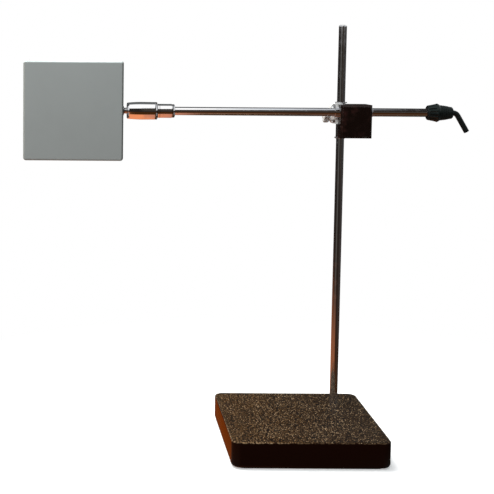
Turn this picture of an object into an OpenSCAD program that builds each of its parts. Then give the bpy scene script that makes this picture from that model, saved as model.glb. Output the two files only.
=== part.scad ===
// Spectroscope: a flat square instrument head on a hollow boom. A cross clamp holds
// the boom on a post, and the post stands in a heavy square base.
// Millimetres. The origin is the middle of the base's underside, +Z is up, +X is right
// and +Y points away from the blank front of the head.

/* [Base] */
// Side of the square base plate
base_side = 205; // [180:1:220]
// Height of the base plate's top above the table
base_height = 36; // [30:1:42]
// Radius of the base plate's upright corners
base_corner = 12; // [6:1:14]
// Thickness of the rubber pad under the base plate
pad_thick = 1.5; // [1:0.5:3]
// Distance from the post's axis to the right edge, and to the back edge, of the base
rod_inset = 39.5; // [30:0.5:50]

/* [Post] */
// Diameter of the post
rod_d = 11; // [10:0.5:11.5]
// Height of the post's top above the table
rod_top = 570; // [520:1:620]

/* [Cross clamp] */
// Height of the boom's axis above the table
arm_height = 450; // [400:1:480]
// How far the boom's axis lies in front of the post's axis
arm_offset = 17; // [17:0.5:20]
// Width of the clamp block along the boom
block_width = 43; // [38:1:50]
// Height of the clamp block above the boom's axis
block_above = 10.3; // [10:0.1:11.5]
// Depth of the clamp block below the boom's axis
block_below = 35.5; // [26:0.5:40]
// Thickness of the clamp block in front of the boom's axis
block_front = 12; // [10:0.5:15]
// Chamfer around the clamp block's front face
block_chamfer = 2.5; // [1:0.5:4]
// Wall of the split liners that the post and the boom slide in
liner_wall = 0.8; // [0.7:0.1:1]
// How far the saddle stands out to the left of the post's axis
saddle_out = 16; // [15:0.5:17]
// Height of the saddle above the boom's axis
saddle_above = 12; // [12:0.5:15]
// Depth of the saddle below the boom's axis
saddle_below = 17; // [16:0.5:20]

/* [Lock screws] */
// Thread diameter of both lock screws
lock_d = 6; // [5:0.5:6]
// Diameter of the knurled heads
lock_head_d = 15; // [14:1:18]
// Length of the knurled heads
lock_head_length = 7.5; // [7:0.5:12]
// How far the post's lock screw lies below the boom's axis
rod_lock_drop = 8; // [8:0.5:12]
// How far the boom's lock screw lies to the right of the post's axis
arm_lock_right = 20; // [18:1:24]

/* [Boom] */
// Diameter of the boom tube
arm_d = 11.5; // [11:0.5:12]
// Wall of the boom tube
arm_wall = 1.5; // [1:0.25:1.5]
// How far the gland starts to the right of the post's axis
gland_right = 115; // [110:1:140]
// Largest diameter of the gland nut
gland_d = 25.5; // [24:0.1:26]

/* [Cable] */
// Diameter of the boom's cable
cable_d = 7.4; // [6:0.1:7.5]
// Diameter of the thinner lead from the head through the ball's stud
lead_d = 5.5; // [4.5:0.5:5.5]
// Radius of the cable's bend past the gland
cable_bend = 8.2; // [8:0.1:12]
// How far below level the cable's free end points
cable_droop = 59.5; // [40:0.5:80]
// Length of the straight free end
cable_tail = 25.5; // [20:0.5:40]

/* [Swivel] */
// Diameter of the ball
ball_d = 17; // [16.5:0.1:17]
// Diameter of the ball's stud
neck_d = 8.5; // [8:0.1:8.5]
// Gap between the head and the socket barrel
neck_gap = 5; // [5:0.5:8]
// Largest diameter of the socket barrel
barrel_d = 24.3; // [23.5:0.1:26]
// Length of the socket barrel
barrel_length = 42; // [40:1:50]
// Diameter of the shank next to the barrel
shank_d = 19.4; // [19:0.1:20]
// Length of the shank
shank_length = 24; // [20:1:30]

/* [Head] */
// Side of the square head
head_side = 137; // [137:1:142]
// Thickness of the head from its front to its rear cover
head_depth = 30; // [30:0.5:34]
// Radius of the head's corners
head_corner = 4; // [2:0.5:4]
// Distance from the post's axis to the middle of the head
head_reach = 372.4; // [340:0.1:380]
// Thread diameter of the entrance port
port_d = 25.4; // [24:0.1:25.4]

/* [Hidden] */
$fn = 64;
fit = 0.03;                 // radial clearance of a sliding or turning fit
rod_r = rod_d / 2;
arm_r = arm_d / 2;
cable_r = cable_d / 2;
lead_r = lead_d / 2;
ball_r = ball_d / 2;
neck_r = neck_d / 2;
lock_r = lock_d / 2;
rod_at = base_side / 2 - rod_inset;

// Base fixings
pad_inset = 6;
foot_bore_r = rod_d + 1;    // counterbore for the post's lock nut
foot_bore_depth = 12.5;
washer_r = rod_d;
washer_thick = 1.6;
foot_nut_r = 0.98 * rod_d;
foot_nut_height = 8;
rod_chamfer = 1;

// Clamp
block_back = 11;
rod_bore_r = rod_r + liner_wall;
arm_bore_r = arm_r + liner_wall;
block_left = -rod_r - 0.5;
saddle_half = 10.5;
saddle_round = 8.5;
flange_thick = 1.2;
flange_r = rod_bore_r + 2;
collar_length = 6.4;
collar_r = arm_bore_r + 0.9;
clip_thick = 1.3;
clip_wall = 1.6;
end_gap = 0.1;              // end play of a liner between its flange and its clip
saddle_screw_r = 1.25;
saddle_screw_y = 8.2;
saddle_screw_length = 16;
saddle_head_r = 2.2;
saddle_head_seat = 10;
pad_length = 2;
lock_neck = 1;
knurls = 20;
knurl_r = 0.8;

// Swivel, with distances from the post's axis along the boom
head_wall = 2.5;
wall_x = -head_reach + head_side / 2;
barrel_x = wall_x + neck_gap;
ball_x = barrel_x + ball_r + 0.5;
shank_x = barrel_x + barrel_length;
shank_end_x = shank_x + shank_length;
tube_x = shank_end_x - 15;
socket_r = ball_r + 1.2;    // bore of the barrel
seat_r = socket_r - 0.1;
lip_r = ball_r - 0.3;
cable_way_r = cable_r + 0.45;
stud_collar = 1;
bush_flange = 2.3;
stud_nut_height = 4;
stud_nut_r = 1.7 * neck_r;
bush_r = neck_r + 1.8;

// Gland, with distances from the post's axis along the boom
nut_length = 16;
nut_lip = 1.5;              // thin end wall of the gland nut
gland_bore_r = gland_d / 2 - 3.9;
gland_hole_r = gland_bore_r - nut_lip;
seal_r = cable_r + 1.2;
tube_end_x = gland_right + 7;
gland_lip_x = gland_right + nut_length - nut_lip;
boot_x = gland_right + nut_length;
boot_length = 19;
bend_x = boot_x + boot_length + 0.5;

// Head, with depths from the boom's axis
front_y = -head_depth / 2;
cover_y = head_depth / 2 - 2;
rim_y = cover_y - 0.8;
back_y = head_depth / 2;
post_inset = 8;             // cover screw posts' distance inside the case's sides
post_at = head_side / 2 - post_inset;
post_r = 4;
boss_r = 3.5;               // bosses below the bench's screws
case_screw_r = 1.5;
case_hole_r = case_screw_r + 0.2;
bench_y = front_y + head_wall + 2;
bench_top = bench_y + 3;
bench_half = 56;
bench_screw_at = 52;
beam_y = bench_top + 8.5;
board_y = bench_top + 1.5;
board_thick = 1.6;

// Optical layout on the bench, as [right, up] from the middle of the head
port_at = [-36, 34];
slit_at = [-36, 15];
collimator_at = [-36, -36];
grating_at = [-10, 12];
focus_at = [10, -36];
detector_at = [10, 40];
mirror_r = 8;
mirror_thick = 4;
fold_half = 8;
fold_thick = 1.5;
fold_mount_back = 11;       // how far the fold mirror's mount reaches behind the beam
slit_half = 8;
slit_disc_r = 6;
slit_thick = 0.5;
mount_thick = 3;
mount_top = 8;              // height of a mount above the beam
mount_foot = 11;            // length of a mount's foot
mount_screw_r = 1.25;
mount_screw_back = 8.5;     // mount screw's distance behind an optic
port_r = port_d / 2;
bezel_r = port_r + 5.3;
bezel_screw_at = port_r + 3.3;
bezel_screw_r = 1;
bezel_height = 5.5;
window_r = port_r + 0.7;
window_thick = 1.2;

brown = [0.30, 0.23, 0.17];
chrome = [0.80, 0.80, 0.82];
steel = [0.62, 0.62, 0.64];
black = [0.08, 0.06, 0.05];
grey = [0.55, 0.57, 0.56];
nylon = [0.90, 0.89, 0.85];
rubber = [0.06, 0.06, 0.06];
anodised = [0.12, 0.12, 0.13];
silvered = [0.88, 0.90, 0.92];
glass = [0.70, 0.80, 0.85];
board_green = [0.08, 0.35, 0.20];
brass = [0.80, 0.65, 0.30];

// ---- Frames: each moves its children to where its own distances start ----

module at_rod() {
    translate([rod_at, rod_at, 0])
        children();
}

module at_clamp() {
    translate([rod_at, rod_at, arm_height])
        children();
}

module at_arm() {
    translate([rod_at, rod_at - arm_offset, arm_height])
        children();
}

module at_ball() {
    at_arm()
        translate([ball_x, 0, 0])
            children();
}

module at_head() {
    at_arm()
        translate([-head_reach, 0, 0])
            children();
}

// ---- Shared shapes ----

module peg_x(from, to, r) {
    translate([from, 0, 0])
        rotate([0, 90, 0])
            cylinder(r = r, h = to - from);
}

module peg_y(from, to, r) {
    translate([0, to, 0])
        rotate([90, 0, 0])
            cylinder(r = r, h = to - from);
}

module peg_z(from, to, r) {
    translate([0, 0, from])
        cylinder(r = r, h = to - from);
}

// A solid turned about X from [radius, distance] points
module turned_x(profile) {
    rotate([0, 90, 0])
        rotate_extrude()
            polygon(profile);
}

// A flat outline in X and Z, thickened along Y
module sheet_y(from, to) {
    translate([0, to, 0])
        rotate([90, 0, 0])
            linear_extrude(to - from)
                children();
}

module rounded_rect(width, depth, corner) {
    square([width - 2 * corner, depth], center = true);
    square([width, depth - 2 * corner], center = true);
    for (sx = [-1, 1], sy = [-1, 1])
        translate([sx * (width / 2 - corner), sy * (depth / 2 - corner)])
            circle(r = corner);
}

// A cap screw along +X: its head ends at 0 and its shank runs to the right
module cap_screw(head_r, head_length, shank_r, shank_length) {
    difference() {
        peg_x(-head_length, 0, head_r);
        translate([-head_length - 1, 0, 0])
            rotate([0, 90, 0])
                cylinder(r = head_r * 0.5, h = head_length * 0.5 + 1, $fn = 6);
    }
    peg_x(0, shank_length, shank_r);
}

// ---- Base and post ----

module base_pad() {
    color(rubber)
        linear_extrude(pad_thick)
            rounded_rect(base_side - 2 * pad_inset, base_side - 2 * pad_inset, base_corner);
}

module base_plate() {
    color(brown)
        difference() {
            translate([0, 0, pad_thick])
                linear_extrude(base_height - pad_thick)
                    rounded_rect(base_side, base_side, base_corner);
            at_rod() {
                peg_z(0, base_height + 1, rod_r);
                peg_z(0, pad_thick + foot_bore_depth, foot_bore_r);
            }
        }
}

module support_rod() {
    color(chrome)
        at_rod()
            rotate_extrude()
                polygon([
                    [0, pad_thick + rod_chamfer],
                    [rod_r - rod_chamfer, pad_thick + rod_chamfer],
                    [rod_r, pad_thick + 2 * rod_chamfer],
                    [rod_r, rod_top - rod_chamfer],
                    [rod_r - rod_chamfer, rod_top],
                    [0, rod_top]
                ]);
}

module rod_washer() {
    top = pad_thick + foot_bore_depth;
    color(steel)
        at_rod()
            difference() {
                peg_z(top - washer_thick, top, washer_r);
                peg_z(top - washer_thick - 1, top + 1, rod_r);
            }
}

module rod_nut() {
    top = pad_thick + foot_bore_depth - washer_thick;
    color(steel)
        at_rod()
            difference() {
                translate([0, 0, top - foot_nut_height])
                    cylinder(r = foot_nut_r, h = foot_nut_height, $fn = 6);
                peg_z(0, top + 1, rod_r);
            }
}

// ---- Cross clamp ----

// The post's liner: a split sleeve with a flange above the saddle
module rod_liner() {
    top = saddle_above + end_gap / 2;
    bottom = -block_below - clip_thick - 1;
    color(chrome)
        at_clamp()
            difference() {
                union() {
                    peg_z(bottom, top, rod_bore_r - fit);
                    peg_z(top, top + flange_thick, flange_r);
                }
                peg_z(bottom - 1, top + flange_thick + 1, rod_r + fit);
                translate([0, -0.5, bottom - 1])
                    cube([flange_r + 1, 1, top - bottom + flange_thick + 2]);
            }
}

// An open ring that keeps a liner from working out of its bore
module liner_clip(bore_r) {
    clip_r = bore_r + clip_wall;
    difference() {
        cylinder(r = clip_r, h = clip_thick);
        translate([0, 0, -1])
            cylinder(r = bore_r, h = clip_thick + 2);
        translate([0, -1.5, -1])
            cube([clip_r + 1, 3, clip_thick + 2]);
    }
}

module rod_liner_clip() {
    color(steel)
        at_clamp()
            translate([0, 0, -block_below - end_gap / 2 - clip_thick])
                liner_clip(rod_bore_r - fit);
}

// The block's plan has a notch behind its left side, where the post and saddle sit
module cross_block() {
    left = block_left;
    right = left + block_width;
    front = -arm_offset - block_front;
    c = block_chamfer;
    color(black)
        at_clamp()
            difference() {
                intersection() {
                    translate([0, 0, -block_below - 1])
                        linear_extrude(block_above + block_below + 2)
                            polygon([
                                [left, front + c], [left + c, front],
                                [right - c, front], [right, front + c],
                                [right, block_back], [0, block_back],
                                [0, -saddle_half], [left, -saddle_half]
                            ]);
                    translate([left - 1, 0, 0])
                        rotate([90, 0, 90])
                            linear_extrude(block_width + 2)
                                polygon([
                                    [front, c - block_below], [front + c, -block_below],
                                    [block_back + 1, -block_below],
                                    [block_back + 1, block_above],
                                    [front + c, block_above], [front, block_above - c]
                                ]);
                }
                peg_z(-block_below - 1, block_above + 1, rod_bore_r);
                translate([0, -arm_offset, 0])
                    peg_x(left - 1, right + 1, arm_bore_r);
                translate([arm_lock_right, 0, 0])
                    peg_y(-arm_offset, block_back + 1, lock_r + fit);
                saddle_screw_places()
                    peg_x(0, saddle_screw_length, saddle_screw_r);
            }
}

module saddle_screw_places() {
    for (y = [-saddle_screw_y, saddle_screw_y], z = [4 - saddle_below, saddle_above - 4])
        translate([-saddle_head_seat, y, z])
            children();
}

// The saddle closes the block's notch around the post's left side. It is rounded both
// as seen from above and as seen from the front
module rod_saddle() {
    height = saddle_above + saddle_below;
    color(chrome)
        at_clamp()
            difference() {
                intersection() {
                    translate([0, 0, -saddle_below - 1])
                        linear_extrude(height + 2)
                            rounded_rect(2 * saddle_out, 2 * saddle_half, saddle_round);
                    translate([0, 0, (saddle_above - saddle_below) / 2])
                        sheet_y(-saddle_half - 1, saddle_half + 1)
                            rounded_rect(2 * saddle_out, height, saddle_round);
                    translate([-saddle_out - 1, -saddle_half - 1, -saddle_below - 1])
                        cube([saddle_out + 1, 2 * saddle_half + 2, height + 2]);
                }
                peg_z(-saddle_below - 1, saddle_above + 1, rod_bore_r);
                translate([0, -arm_offset, 0])
                    peg_x(-saddle_out - 1, 1, collar_r + 0.3);
                translate([0, 0, -rod_lock_drop])
                    peg_x(-saddle_out - 1, 0, lock_r + fit);
                saddle_screw_places() {
                    peg_x(0, saddle_head_seat + 1, saddle_screw_r);
                    peg_x(-saddle_out, 0, saddle_head_r + 0.1);
                }
            }
}

module saddle_screws() {
    color(steel)
        at_clamp()
            saddle_screw_places()
                cap_screw(saddle_head_r, 2.2, saddle_screw_r, saddle_screw_length);
}

// A lock screw along -X whose pad starts at 0: the pad is the piece that doesn't turn
module lock_pad() {
    peg_x(-pad_length, 0, lock_r - 0.1);
}

module lock_knob(reach) {
    head = -reach - lock_neck;
    difference() {
        union() {
            peg_x(head, -pad_length, lock_r);
            peg_x(head, -reach - 0.3, lock_r + 1.5);
            turned_x([
                [0, head - lock_head_length], [lock_head_d / 2 - 1, head - lock_head_length],
                [lock_head_d / 2, head - lock_head_length + 1], [lock_head_d / 2, head - 1],
                [lock_head_d / 2 - 1, head], [0, head]
            ]);
        }
        for (i = [0 : knurls - 1])
            rotate([i * 360 / knurls, 0, 0])
                translate([0, 0, lock_head_d / 2 + 0.3])
                    peg_x(head - lock_head_length - 1, head + 0.1, knurl_r);
    }
}

module at_rod_lock() {
    at_clamp()
        translate([-rod_bore_r, 0, -rod_lock_drop])
            children();
}

module at_arm_lock() {
    at_arm()
        translate([arm_lock_right, arm_bore_r, 0])
            rotate([0, 0, -90])
                children();
}

module rod_lock_pad() {
    color(brass)
        at_rod_lock()
            lock_pad();
}

module rod_lock_knob() {
    color(chrome)
        at_rod_lock()
            lock_knob(saddle_out - rod_bore_r);
}

module arm_lock_pad() {
    color(brass)
        at_arm_lock()
            lock_pad();
}

module arm_lock_knob() {
    color(chrome)
        at_arm_lock()
            lock_knob(arm_offset + block_back - arm_bore_r);
}

// The boom's liner turns in the block, between its left collar and a clip
module arm_liner() {
    collar = block_left - end_gap / 2;
    left = collar - collar_length;
    right = block_left + block_width + clip_thick + 1;
    color(chrome)
        at_arm()
            difference() {
                union() {
                    peg_x(collar, right, arm_bore_r - fit);
                    peg_x(left, collar, collar_r);
                }
                peg_x(left - 1, right + 1, arm_r + fit);
                translate([left - 1, -0.5, -collar_r - 1])
                    cube([right - left + 2, 1, collar_r + 1]);
            }
}

module arm_liner_clip() {
    color(steel)
        at_arm()
            translate([block_left + block_width + end_gap / 2, 0, 0])
                rotate([0, 90, 0])
                    liner_clip(arm_bore_r - fit);
}

// ---- Boom and ball swivel ----

module arm_tube() {
    color(chrome)
        at_arm()
            difference() {
                peg_x(tube_x, tube_end_x, arm_r);
                peg_x(tube_x - 1, tube_end_x + 1, arm_r - arm_wall);
            }
}

// The shank holds the tube, carries the barrel's thread and backs the rear seat
module socket_shank() {
    ridges = 7;
    step = (shank_length - 3) / ridges;
    taper = 1;
    left = ball_x + ball_r - 0.85;
    color(chrome)
        at_arm()
            difference() {
                turned_x(concat(
                    [[0, left], [socket_r - 0.05, left], [socket_r - 0.05, shank_x + end_gap]],
                    [for (i = [0 : ridges - 1], p = [[0, 0.15], [0, 0.65], [0.5, 0.8], [0.5, 1]])
                        [shank_d / 2 - taper * i / ridges - p[0], shank_x + 1 + (i + p[1]) * step]],
                    [[shank_d / 2 - taper, shank_end_x - 1.5],
                     [shank_d / 2 - taper - 1.5, shank_end_x], [0, shank_end_x]]
                ));
                turned_x([
                    [0, left - 1], [ball_r - 3, left - 1], [ball_r - 3, left],
                    [cable_way_r, left + 4], [cable_way_r, tube_x], [0, tube_x]
                ]);
                peg_x(tube_x - 0.5, shank_end_x + 1, arm_r);
            }
}

// The barrel is a slim turned cap: screwing it up the shank grips the ball
module socket_barrel() {
    l = barrel_length;
    r = barrel_d / 2;
    color(chrome)
        at_arm()
            translate([barrel_x, 0, 0])
                difference() {
                    turned_x([
                        [0, 0], [r - 1.9, 0], [r - 1.15, 0.8], [r - 0.45, l * 0.1],
                        [r, l * 0.3], [r, l * 0.7], [r - 0.3, l * 0.9],
                        [r - 0.7, l - 1], [r - 1.5, l], [0, l]
                    ]);
                    peg_x(-1, l + 1, lip_r);
                    peg_x(1.6, l + 1, socket_r);
                }
}

module at_seat(from, to, opening_r) {
    at_ball()
        difference() {
            peg_x(from, to, seat_r);
            sphere(r = ball_r + fit);
            peg_x(from - 1, to + 1, opening_r);
        }
}

module front_seat() {
    color(nylon)
        at_seat(0.2 - ball_r + 1, -1.2, ball_r - 1.1);
}

module rear_seat() {
    color(nylon)
        at_seat(1.2, ball_r - 0.9, ball_r - 3);
}

// Ball and stud are one turned piece, bored for the cable
module swivel_ball() {
    wall = wall_x - ball_x;
    end = wall - head_wall - bush_flange - stud_nut_height - 1.2;
    bore_r = lead_r + 0.2;
    color(steel)
        at_ball()
            rotate([0, 90, 0])
                rotate_extrude()
                    difference() {
                        union() {
                            intersection() {
                                circle(r = ball_r);
                                translate([0, -ball_r])
                                    square([ball_r, 2 * ball_r]);
                            }
                            translate([0, end])
                                square([neck_r, -end]);
                            translate([0, wall + 0.05])
                                square([neck_r + 2, stud_collar]);
                        }
                        translate([0, end - 1])
                            square([bore_r, 1 - end]);
                        polygon([
                            [0, -1], [bore_r, -1], [bore_r, 0],
                            [lead_r + 3, ball_r + 1], [0, ball_r + 1]
                        ]);
                    }
}

module stud_nut() {
    right = wall_x - head_wall - bush_flange - 0.1;
    color(steel)
        at_arm()
            difference() {
                translate([right - stud_nut_height, 0, 0])
                    rotate([0, 90, 0])
                        cylinder(r = stud_nut_r, h = stud_nut_height, $fn = 6);
                peg_x(right - stud_nut_height - 1, right + 1, neck_r);
            }
}

// ---- Cable and gland ----

module gland_body() {
    color(rubber)
        at_arm()
            difference() {
                peg_x(gland_right + 1, gland_lip_x, gland_bore_r);
                peg_x(gland_right, tube_end_x, arm_r);
                peg_x(tube_end_x - 1, gland_lip_x + 1, seal_r);
            }
}

module gland_seal() {
    color(nylon)
        at_arm()
            difference() {
                peg_x(tube_end_x + 1, gland_lip_x - 0.5, seal_r);
                peg_x(tube_end_x, gland_lip_x, cable_r);
            }
}

// The nut flares towards its grip ridge and is fluted all round. Its points, like the
// boot's, are given inwards from the largest radius
module gland_nut() {
    flutes = 16;
    flute_r = 1.1;
    r = gland_d / 2;
    color(black)
        at_arm()
            translate([gland_right, 0, 0])
                difference() {
                    turned_x([
                        [0, 0], [r - 3.6, 0], [r - 2.8, 1], [r - 1.9, 4.5], [r - 0.8, 9],
                        [r, 12.7], [r, 13.9], [r - 0.6, nut_length], [0, nut_length]
                    ]);
                    peg_x(-1, nut_length - nut_lip, gland_bore_r);
                    peg_x(-1, nut_length + 1, gland_hole_r);
                    for (i = [0 : flutes - 1])
                        rotate([i * 360 / flutes, 0, 0])
                            translate([0, 0, r + 0.1])
                                peg_x(-1, 11.5, flute_r);
                }
}

module gland_boot() {
    r = gland_d / 2;
    spigot = gland_lip_x - boot_x;
    color(rubber)
        at_arm()
            translate([boot_x, 0, 0])
                difference() {
                    turned_x([
                        [0, spigot], [gland_hole_r, spigot], [gland_hole_r, 0],
                        [r - 2, 0], [r - 2.3, 4], [r - 3, 9], [r - 3.7, 13],
                        [r - 4.5, 16], [r - 5.6, 18], [r - 6.6, boot_length],
                        [0, boot_length]
                    ]);
                    peg_x(spigot - 1, boot_length + 1, cable_r + 0.1);
                    turned_x([
                        [0, boot_length - 2.5], [cable_r + 0.1, boot_length - 2.5],
                        [cable_r + 0.9, boot_length + 0.1], [0, boot_length + 0.1]
                    ]);
                }
}

// The run in the boom is a hair slimmer than the bend, which it ends just inside
module arm_cable() {
    left = ball_x + ball_r + 1;
    color(rubber)
        at_arm() {
            peg_x(left, bend_x + 0.2, cable_r - 0.05);
            translate([bend_x, 0, -cable_bend])
                rotate([90, 0, 0])
                    rotate([0, 0, 90 - cable_droop]) {
                        rotate_extrude(angle = cable_droop)
                            translate([cable_bend, 0])
                                circle(r = cable_r);
                        translate([cable_bend, 0, 0])
                            rotate([90, 0, 0])
                                cylinder(r = cable_r, h = cable_tail);
                    }
        }
}

// ---- Head case ----

module cover_screw_places() {
    for (sx = [-1, 0, 1], sz = [-1, 1])
        translate([sx * post_at, 0, sz * post_at])
            children();
}

module bench_screw_places() {
    for (sx = [-1, 1], sz = [-1, 1])
        translate([sx * bench_screw_at, 0, sz * bench_screw_at])
            children();
}

// The case is a pan whose plain front closes it and whose rim takes the rear cover
module head_housing() {
    floor_y = front_y + head_wall;
    inner = head_side - 2 * head_wall;
    color(grey)
        at_head()
            difference() {
                union() {
                    difference() {
                        sheet_y(front_y, rim_y)
                            rounded_rect(head_side, head_side, head_corner);
                        sheet_y(floor_y, rim_y + 1)
                            rounded_rect(inner, inner, 1);
                    }
                    cover_screw_places()
                        peg_y(floor_y, cover_y, post_r);
                    for (side = [-1, 1], sx = [-1, 0, 1])
                        translate([sx * post_at - post_r / 2, floor_y,
                                   side > 0 ? post_at : -head_side / 2 + head_wall - 0.5])
                            cube([post_r, rim_y - floor_y, post_inset - head_wall + 0.5]);
                    bench_screw_places()
                        peg_y(floor_y, bench_y, boss_r);
                }
                cover_screw_places()
                    peg_y(cover_y - 8, cover_y + 1, case_screw_r);
                bench_screw_places()
                    peg_y(floor_y + 0.5, bench_y + 1, case_screw_r);
                peg_x(head_side / 2 - head_wall - 1, head_side / 2 + 1, bush_r);
            }
}

// The bush lets the head turn on the ball's stud
module head_bush() {
    color(brass)
        at_arm()
            difference() {
                union() {
                    peg_x(wall_x - head_wall, wall_x, bush_r);
                    peg_x(wall_x - head_wall - bush_flange, wall_x - head_wall, neck_r + 4);
                }
                peg_x(wall_x - head_wall - bush_flange - 1, wall_x + 1, neck_r + fit);
            }
}

module rear_cover() {
    color(grey)
        at_head()
            difference() {
                sheet_y(cover_y, back_y)
                    rounded_rect(head_side, head_side, head_corner);
                cover_screw_places()
                    peg_y(cover_y - 1, back_y + 1, case_hole_r);
                translate([port_at[0], 0, port_at[1]]) {
                    peg_y(cover_y - 1, back_y + 1, port_r - 2);
                    peg_y(back_y - window_thick, back_y + 1, window_r + 0.1);
                    bezel_screw_places()
                        peg_y(cover_y - 1, back_y + 1, bezel_screw_r);
                }
            }
}

module cover_gasket() {
    color(rubber)
        at_head()
            sheet_y(rim_y, cover_y)
                difference() {
                    rounded_rect(head_side - 0.6, head_side - 0.6, head_corner);
                    rounded_rect(head_side - 4.8, head_side - 4.8, 1);
                }
}

module cover_screws() {
    color(steel)
        at_head()
            cover_screw_places()
                translate([0, back_y, 0])
                    rotate([0, 0, -90])
                        cap_screw(2.6, 1.6, case_screw_r, 9);
}

module bezel_screw_places() {
    for (i = [0 : 3])
        rotate([0, 45 + i * 90, 0])
            translate([bezel_screw_at, 0, 0])
                children();
}

module at_port() {
    at_head()
        translate([port_at[0], 0, port_at[1]])
            children();
}

// A threaded ring for a lens, a tube or a fibre adapter
module entrance_bezel() {
    color(anodised)
        at_port()
            difference() {
                union() {
                    peg_y(back_y, back_y + 2, bezel_r);
                    peg_y(back_y, back_y + bezel_height, port_r + 1.4);
                }
                peg_y(back_y - 1, back_y + bezel_height + 1, port_r);
                bezel_screw_places()
                    peg_y(back_y - 1, back_y + 3, bezel_screw_r + 0.1);
            }
}

module bezel_screws() {
    color(steel)
        at_port()
            bezel_screw_places()
                translate([0, back_y + 2, 0])
                    rotate([0, 0, -90])
                        cap_screw(1.8, 1.3, bezel_screw_r, 4);
}

module entrance_window() {
    color(glass)
        at_port()
            peg_y(back_y - window_thick, back_y, window_r);
}

// ---- Optical bench ----

function heading(from, to) = atan2(to[1] - from[1], to[0] - from[0]);

// The direction a mirror at `at` faces to send light from `a` to `b`
function facing(at, a, b) = (heading(at, a) + heading(at, b)) / 2;

collimator_facing = facing(collimator_at, slit_at, grating_at);
grating_facing = facing(grating_at, collimator_at, focus_at);
focus_facing = facing(focus_at, grating_at, detector_at);

// Puts +X along the direction an optic faces, with the beam's height at Y = 0
module at_optic(at, angle) {
    at_head()
        translate([at[0], beam_y, at[1]])
            rotate([0, -angle, 0])
                children();
}

module at_collimator() {
    at_optic(collimator_at, collimator_facing)
        children();
}

module at_grating() {
    at_optic(grating_at, grating_facing)
        children();
}

module at_focus() {
    at_optic(focus_at, focus_facing)
        children();
}

module each_mount() {
    at_collimator()
        children();
    at_grating()
        children();
    at_focus()
        children();
}

module optical_bench() {
    color(anodised)
        difference() {
            at_head()
                difference() {
                    sheet_y(bench_y, bench_top)
                        rounded_rect(2 * bench_half, 2 * bench_half, 2);
                    bench_screw_places()
                        peg_y(bench_y - 1, bench_top + 1, case_hole_r);
                }
            each_mount()
                mount_screw_hole();
        }
}

module bench_screws() {
    color(steel)
        at_head()
            bench_screw_places()
                translate([0, bench_top, 0])
                    rotate([0, 0, -90])
                        cap_screw(2.75, 2, case_screw_r, 4.5);
}

module mount_screw_hole() {
    translate([-mirror_thick - mount_screw_back, 0, 0])
        peg_y(bench_y - beam_y - 1, bench_top - beam_y + mount_thick + 1, mount_screw_r);
}

module mount_screws() {
    color(steel)
        each_mount()
            translate([-mirror_thick - mount_screw_back, bench_top - beam_y + mount_thick, 0])
                rotate([0, 0, -90])
                    cap_screw(2.1, 2, mount_screw_r, 5);
}

// An L-shaped bracket: an upright behind the optic and a foot on the bench
module optic_mount(half_width) {
    low = bench_top - beam_y;
    difference() {
        union() {
            translate([-mirror_thick - mount_thick, low, -half_width])
                cube([mount_thick, mount_top - low, 2 * half_width]);
            translate([-mirror_thick - mount_foot - 2, low, 1 - half_width])
                cube([mount_foot, mount_thick, 2 * half_width - 2]);
        }
        mount_screw_hole();
    }
}

module concave_mirror() {
    curve_r = 60;
    difference() {
        peg_x(-mirror_thick, 0, mirror_r);
        translate([curve_r - 0.6, 0, 0])
            sphere(r = curve_r, $fn = 180);
    }
}

module collimating_mirror() {
    color(silvered)
        at_collimator()
            concave_mirror();
}

module collimator_mount() {
    color(anodised)
        at_collimator()
            optic_mount(9);
}

module focusing_mirror() {
    color(silvered)
        at_focus()
            concave_mirror();
}

module focusing_mount() {
    color(anodised)
        at_focus()
            optic_mount(9);
}

module grating() {
    half = 6.5;
    color(silvered)
        at_grating()
            translate([-mirror_thick, -half, -half])
                cube([mirror_thick, 2 * half, 2 * half]);
}

module grating_mount() {
    color(anodised)
        at_grating()
            optic_mount(8);
}

// The fold mirror lies at 45 degrees and sends light from the port down to the slit
module fold_mirror() {
    color(silvered)
        at_port()
            translate([0, beam_y, 0])
                rotate([-45, 0, 0])
                    translate([2 - fold_half, -fold_thick, -fold_half])
                        cube([2 * fold_half - 4, fold_thick, 2 * fold_half]);
}

module fold_mirror_mount() {
    low = bench_top - beam_y;
    high = fold_half / sqrt(2);
    behind = fold_thick * sqrt(2);
    color(anodised)
        at_port()
            translate([-fold_half + 1, beam_y, 0])
                rotate([90, 0, 90])
                    linear_extrude(2 * fold_half - 2)
                        polygon([
                            [low, low + behind], [low, fold_mount_back],
                            [high, fold_mount_back], [high, high + behind]
                        ]);
}

module slit_holder() {
    low = bench_top - beam_y;
    color(anodised)
        at_head()
            translate([slit_at[0], beam_y, slit_at[1]])
                difference() {
                    translate([-slit_half, low, 0])
                        cube([2 * slit_half, mount_top - low, mount_thick]);
                    peg_z(-1, mount_thick + 1, slit_disc_r / 2);
                    peg_z(-1, slit_thick, slit_disc_r);
                }
}

module slit_plate() {
    color(steel)
        at_head()
            translate([slit_at[0], beam_y, slit_at[1]])
                difference() {
                    peg_z(0, slit_thick, slit_disc_r);
                    translate([-0.1, -1.5, -1])
                        cube([0.2, 3, 2]);
                }
}

module detector() {
    color(anodised)
        at_head()
            translate([detector_at[0], beam_y, detector_at[1]]) {
                difference() {
                    translate([-15, -4.5, 0])
                        cube([30, 9, 3]);
                    translate([-12, -1.5, -1])
                        cube([24, 3, 1.5]);
                }
            }
}

module detector_board() {
    color(board_green)
        at_head()
            translate([detector_at[0] - 17, bench_top, detector_at[1] + 3])
                cube([34, 18, board_thick]);
}

module detector_bracket() {
    z = detector_at[1] + 3 + board_thick;
    color(anodised)
        at_head()
            for (side = [-1, 1])
                translate([detector_at[0] + side * 11 - 2.5, bench_top, z]) {
                    cube([5, 14, 1.5]);
                    cube([5, 1.5, 7]);
                }
}

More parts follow.
